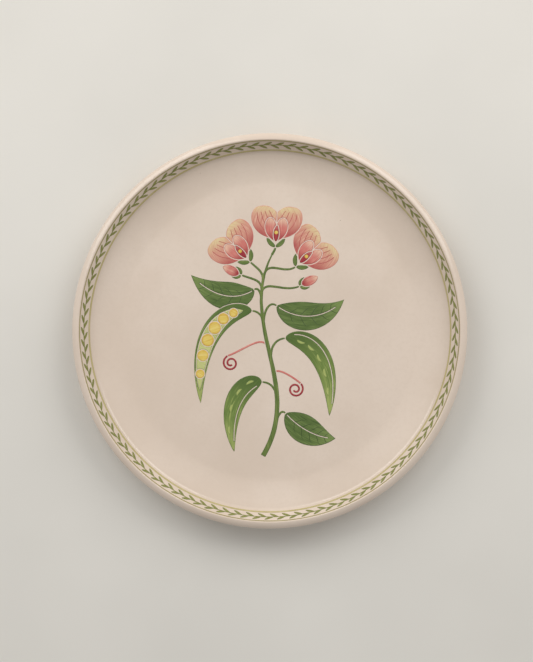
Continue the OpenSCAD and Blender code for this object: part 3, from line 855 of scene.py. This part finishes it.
# Node, material slot, spacing of the skin's points in mm, root node and brush colours of the sprig's colours
SPRIG = [
    ("sprig_stems", "stem_green", 0.8, None,
     dict(body=STEM, light=STEM_LIGHT, dark=STEM_DARK, edge=STEM_DARK)),
    ("leaves", "leaf_green", 0.8, "sprig_stems",
     dict(body=LEAF, light=LEAF_LIGHT, dark=LEAF_DARK, edge=LEAF_DARK, tip=LEAF_LIGHT)),
    ("pods", "pod_green", 0.8, "sprig_stems",
     dict(body=POD, light=POD_LIGHT, dark=POD_DARK, edge=POD_DARK, root=POD_DARK, tip=POD_LIGHT)),
    ("pod_linings", "pale_green", 0.6, None,
     dict(body=PALE, light=PALE_LIGHT, dark=PALE_DARK, edge=PALE_DARK)),
    ("peas", "pea_yellow", 0.5, None,
     dict(body=YELLOW, light=YELLOW_LIGHT, dark=YELLOW_DARK, edge=YELLOW_DARK, edge_w=1.8, streak=0.7)),
    ("banner_petals", "petal_salmon", 0.7, "sprig_stems",
     dict(body=SALMON, light=SALMON_LIGHT, dark=SALMON_DARK, edge=ROSE, root=ROSE_DARK, tip=CREAM_TIP)),
    ("wing_petals", "rose", 0.6, "sprig_stems",
     dict(body=ROSE, light=ROSE_LIGHT, dark=ROSE_DARK, edge=ROSE_DARK, root=CRIMSON, tip=SALMON_LIGHT)),
    ("keel_petals", "crimson", 0.5, "sprig_stems",
     dict(body=CRIMSON, light=CRIMSON_LIGHT, dark=CRIMSON_DARK, edge=CRIMSON_DARK, tip=ROSE)),
    ("buds", "bud_red", 0.5, "sprig_stems",
     dict(body=ROSE, light=SALMON_LIGHT, dark=ROSE_DARK, edge=ROSE_DARK, root=CRIMSON, tip=SALMON_LIGHT)),
    ("calyxes", "stem_green", 0.5, "sprig_stems",
     dict(body=STEM, light=STEM_LIGHT, dark=STEM_DARK, edge=STEM_DARK)),
    ("tendrils", "rose", 0.5, None,
     dict(body=ROSE, light=ROSE_LIGHT, dark=ROSE_DARK, edge=ROSE_DARK, edge_w=0.4)),
    ("tendril_curls", "crimson", 0.5, None,
     dict(body=CRIMSON, light=CRIMSON_LIGHT, dark=CRIMSON_DARK, edge=CRIMSON_DARK, edge_w=0.4)),
]

# Node, material slot and brush colours of the fine strokes that lie on those colours
DETAILS = [
    ("leaf_veins", "vein_green",
     dict(body=LEAF_DARK, light=LEAF, dark=LEAF_DARK, edge=LEAF, edge_w=0.12)),
    ("pod_lights", "pale_green",
     dict(body=POD_LIGHT, light=PALE, dark=POD_LIGHT, edge=POD, edge_w=0.5)),
    ("banner_veins", "vein_red",
     dict(body=ROSE_DARK, light=ROSE, dark=CRIMSON, edge=ROSE, edge_w=0.12)),
    ("blossom_hearts", "pea_yellow",
     dict(body=YELLOW, light=YELLOW_LIGHT, dark=YELLOW_DARK, edge=YELLOW_DARK)),
]


def build_plate():
    """The glaze, and the bare clay that shows on the standing face."""
    glaze = glaze_material()
    glaze_piece("glaze", "main_glaze", True).data.materials.append(glaze)
    glaze_piece("foot_hollow_skin", "foot_hollow_glaze", False).data.materials.append(glaze)
    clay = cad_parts["clay_body"]
    clay.data.materials.clear()
    clay.data.materials.append(clay_material())


def build_border():
    """The lines, stem and leaves painted round the wall."""
    for name, node, slot, colours in RINGS:
        ring = painted_ring(name, node, slot, LINE_WOBBLE)
        ring.data.materials.append(brush_material(name, edge_w=0.3, **colours))
    green = brush_material("border_leaf_paint", BORDER_GREEN, BORDER_LIGHT, BORDER_DARK, BORDER_DARK,
                           root=BORDER_GREEN, edge_w=0.35)
    for node in ("outer_border_leaves", "inner_border_leaves"):
        skin = colour_skin("painted_" + node, node, "border_green", BORDER_GAP, BORDER_ROUND_W,
                           wall_chart, wall_place)
        skin.data.materials.append(green)


def build_sprig():
    """The colours of the sprig, and the fine strokes on them."""
    for node, slot, gap, root, colours in SPRIG:
        skin = colour_skin("painted_" + node, node, slot, gap * MM, place=floor_place, root_node=root)
        skin.data.materials.append(brush_material(node + "_paint", **colours))
    for node, slot, colours in DETAILS:
        skin = colour_skin("painted_" + node, node, slot, DETAIL_GAP, DETAIL_ROUND_W, place=detail_place,
                           thickness=(1 + DETAIL_SINK_SHARE) * DETAIL_T)
        skin.data.materials.append(brush_material(node + "_paint", **colours))


# Stage, light and camera

def build_stage():
    """A plain pale floor under the plate."""
    mesh = bpy.data.meshes.new("floor")
    ways = ((-1, -1), (1, -1), (1, 1), (-1, 1))
    mesh.from_pydata([(x * FLOOR_REACH, y * FLOOR_REACH, 0) for x, y in ways], [], [(0, 1, 2, 3)])
    floor = bpy.data.objects.new("floor", mesh)
    bpy.context.scene.collection.objects.link(floor)
    paint = Paint("pale_floor", 0.8)
    cloud = paint.ramp(paint.noise(paint.place(), 5, 3), 0.3, 0.7)
    paint.colour(paint.mix(cloud, FLOOR, FLOOR_LIGHT))
    mesh.materials.append(paint.material)


def area_light(name, azimuth, zenith, distance, width, height, level):
    """A soft lamp that faces the plate and lights a level floor by a share."""
    data = bpy.data.lights.new(name, "AREA")
    data.shape = "RECTANGLE"
    data.size, data.size_y = width, height
    slants = math.hypot(width, 2 * distance) * math.hypot(height, 2 * distance)
    spread = 4 * math.asin(width * height / slants)
    a, z = math.radians(azimuth), math.radians(zenith)
    data.energy = level * math.pi ** 2 * width * height / (spread * math.cos(z))
    data.color = LAMP_TINT
    lamp = bpy.data.objects.new(name, data)
    way = Vector((math.sin(a) * math.sin(z), math.cos(a) * math.sin(z), math.cos(z)))
    lamp.location = way * distance
    lamp.rotation_euler = way.to_track_quat("Z", "Y").to_euler()
    bpy.context.scene.collection.objects.link(lamp)


def build_light():
    """The lamps, and a soft even sky."""
    for lamp in LAMPS:
        area_light(*lamp)
    world = bpy.data.worlds.new("soft_sky")
    world.use_nodes = True
    sky = world.node_tree.nodes["Background"]
    sky.inputs["Color"].default_value = SKY_TINT
    sky.inputs["Strength"].default_value = SKY_LEVEL
    bpy.context.scene.world = world


def build_camera():
    """A camera almost straight above the plate, with the plate where the image frame has it."""
    low, high = cad_box
    metres_per_px = (high.x - low.x) / 2 / PLATE_RADIUS_PX
    away = Vector((*CAMERA_ASIDE, CAMERA_RISE))
    right = (PLATE_CENTRE_PX[0] - IMAGE_SIZE[0] / 2) * metres_per_px
    down = (PLATE_CENTRE_PX[1] - IMAGE_SIZE[1] / 2) * metres_per_px
    aim = Vector((-right, down, high.z - EDGE_FALL))
    data = bpy.data.cameras.new("camera")
    data.sensor_fit = "AUTO"
    data.sensor_width = SENSOR
    data.lens = SENSOR * away.length / (IMAGE_SIZE[1] * metres_per_px)
    camera = bpy.data.objects.new("camera", data)
    camera.location = aim + away
    camera.rotation_euler = (-math.asin(away.y / away.length), math.atan2(away.x, away.z), 0)
    bpy.context.scene.collection.objects.link(camera)
    bpy.context.scene.camera = camera
    bpy.context.scene.view_settings.view_transform = "Standard"


build_camera()
build_stage()
build_light()
build_plate()
build_border()
build_sprig()

bpy.context.view_layer.update()
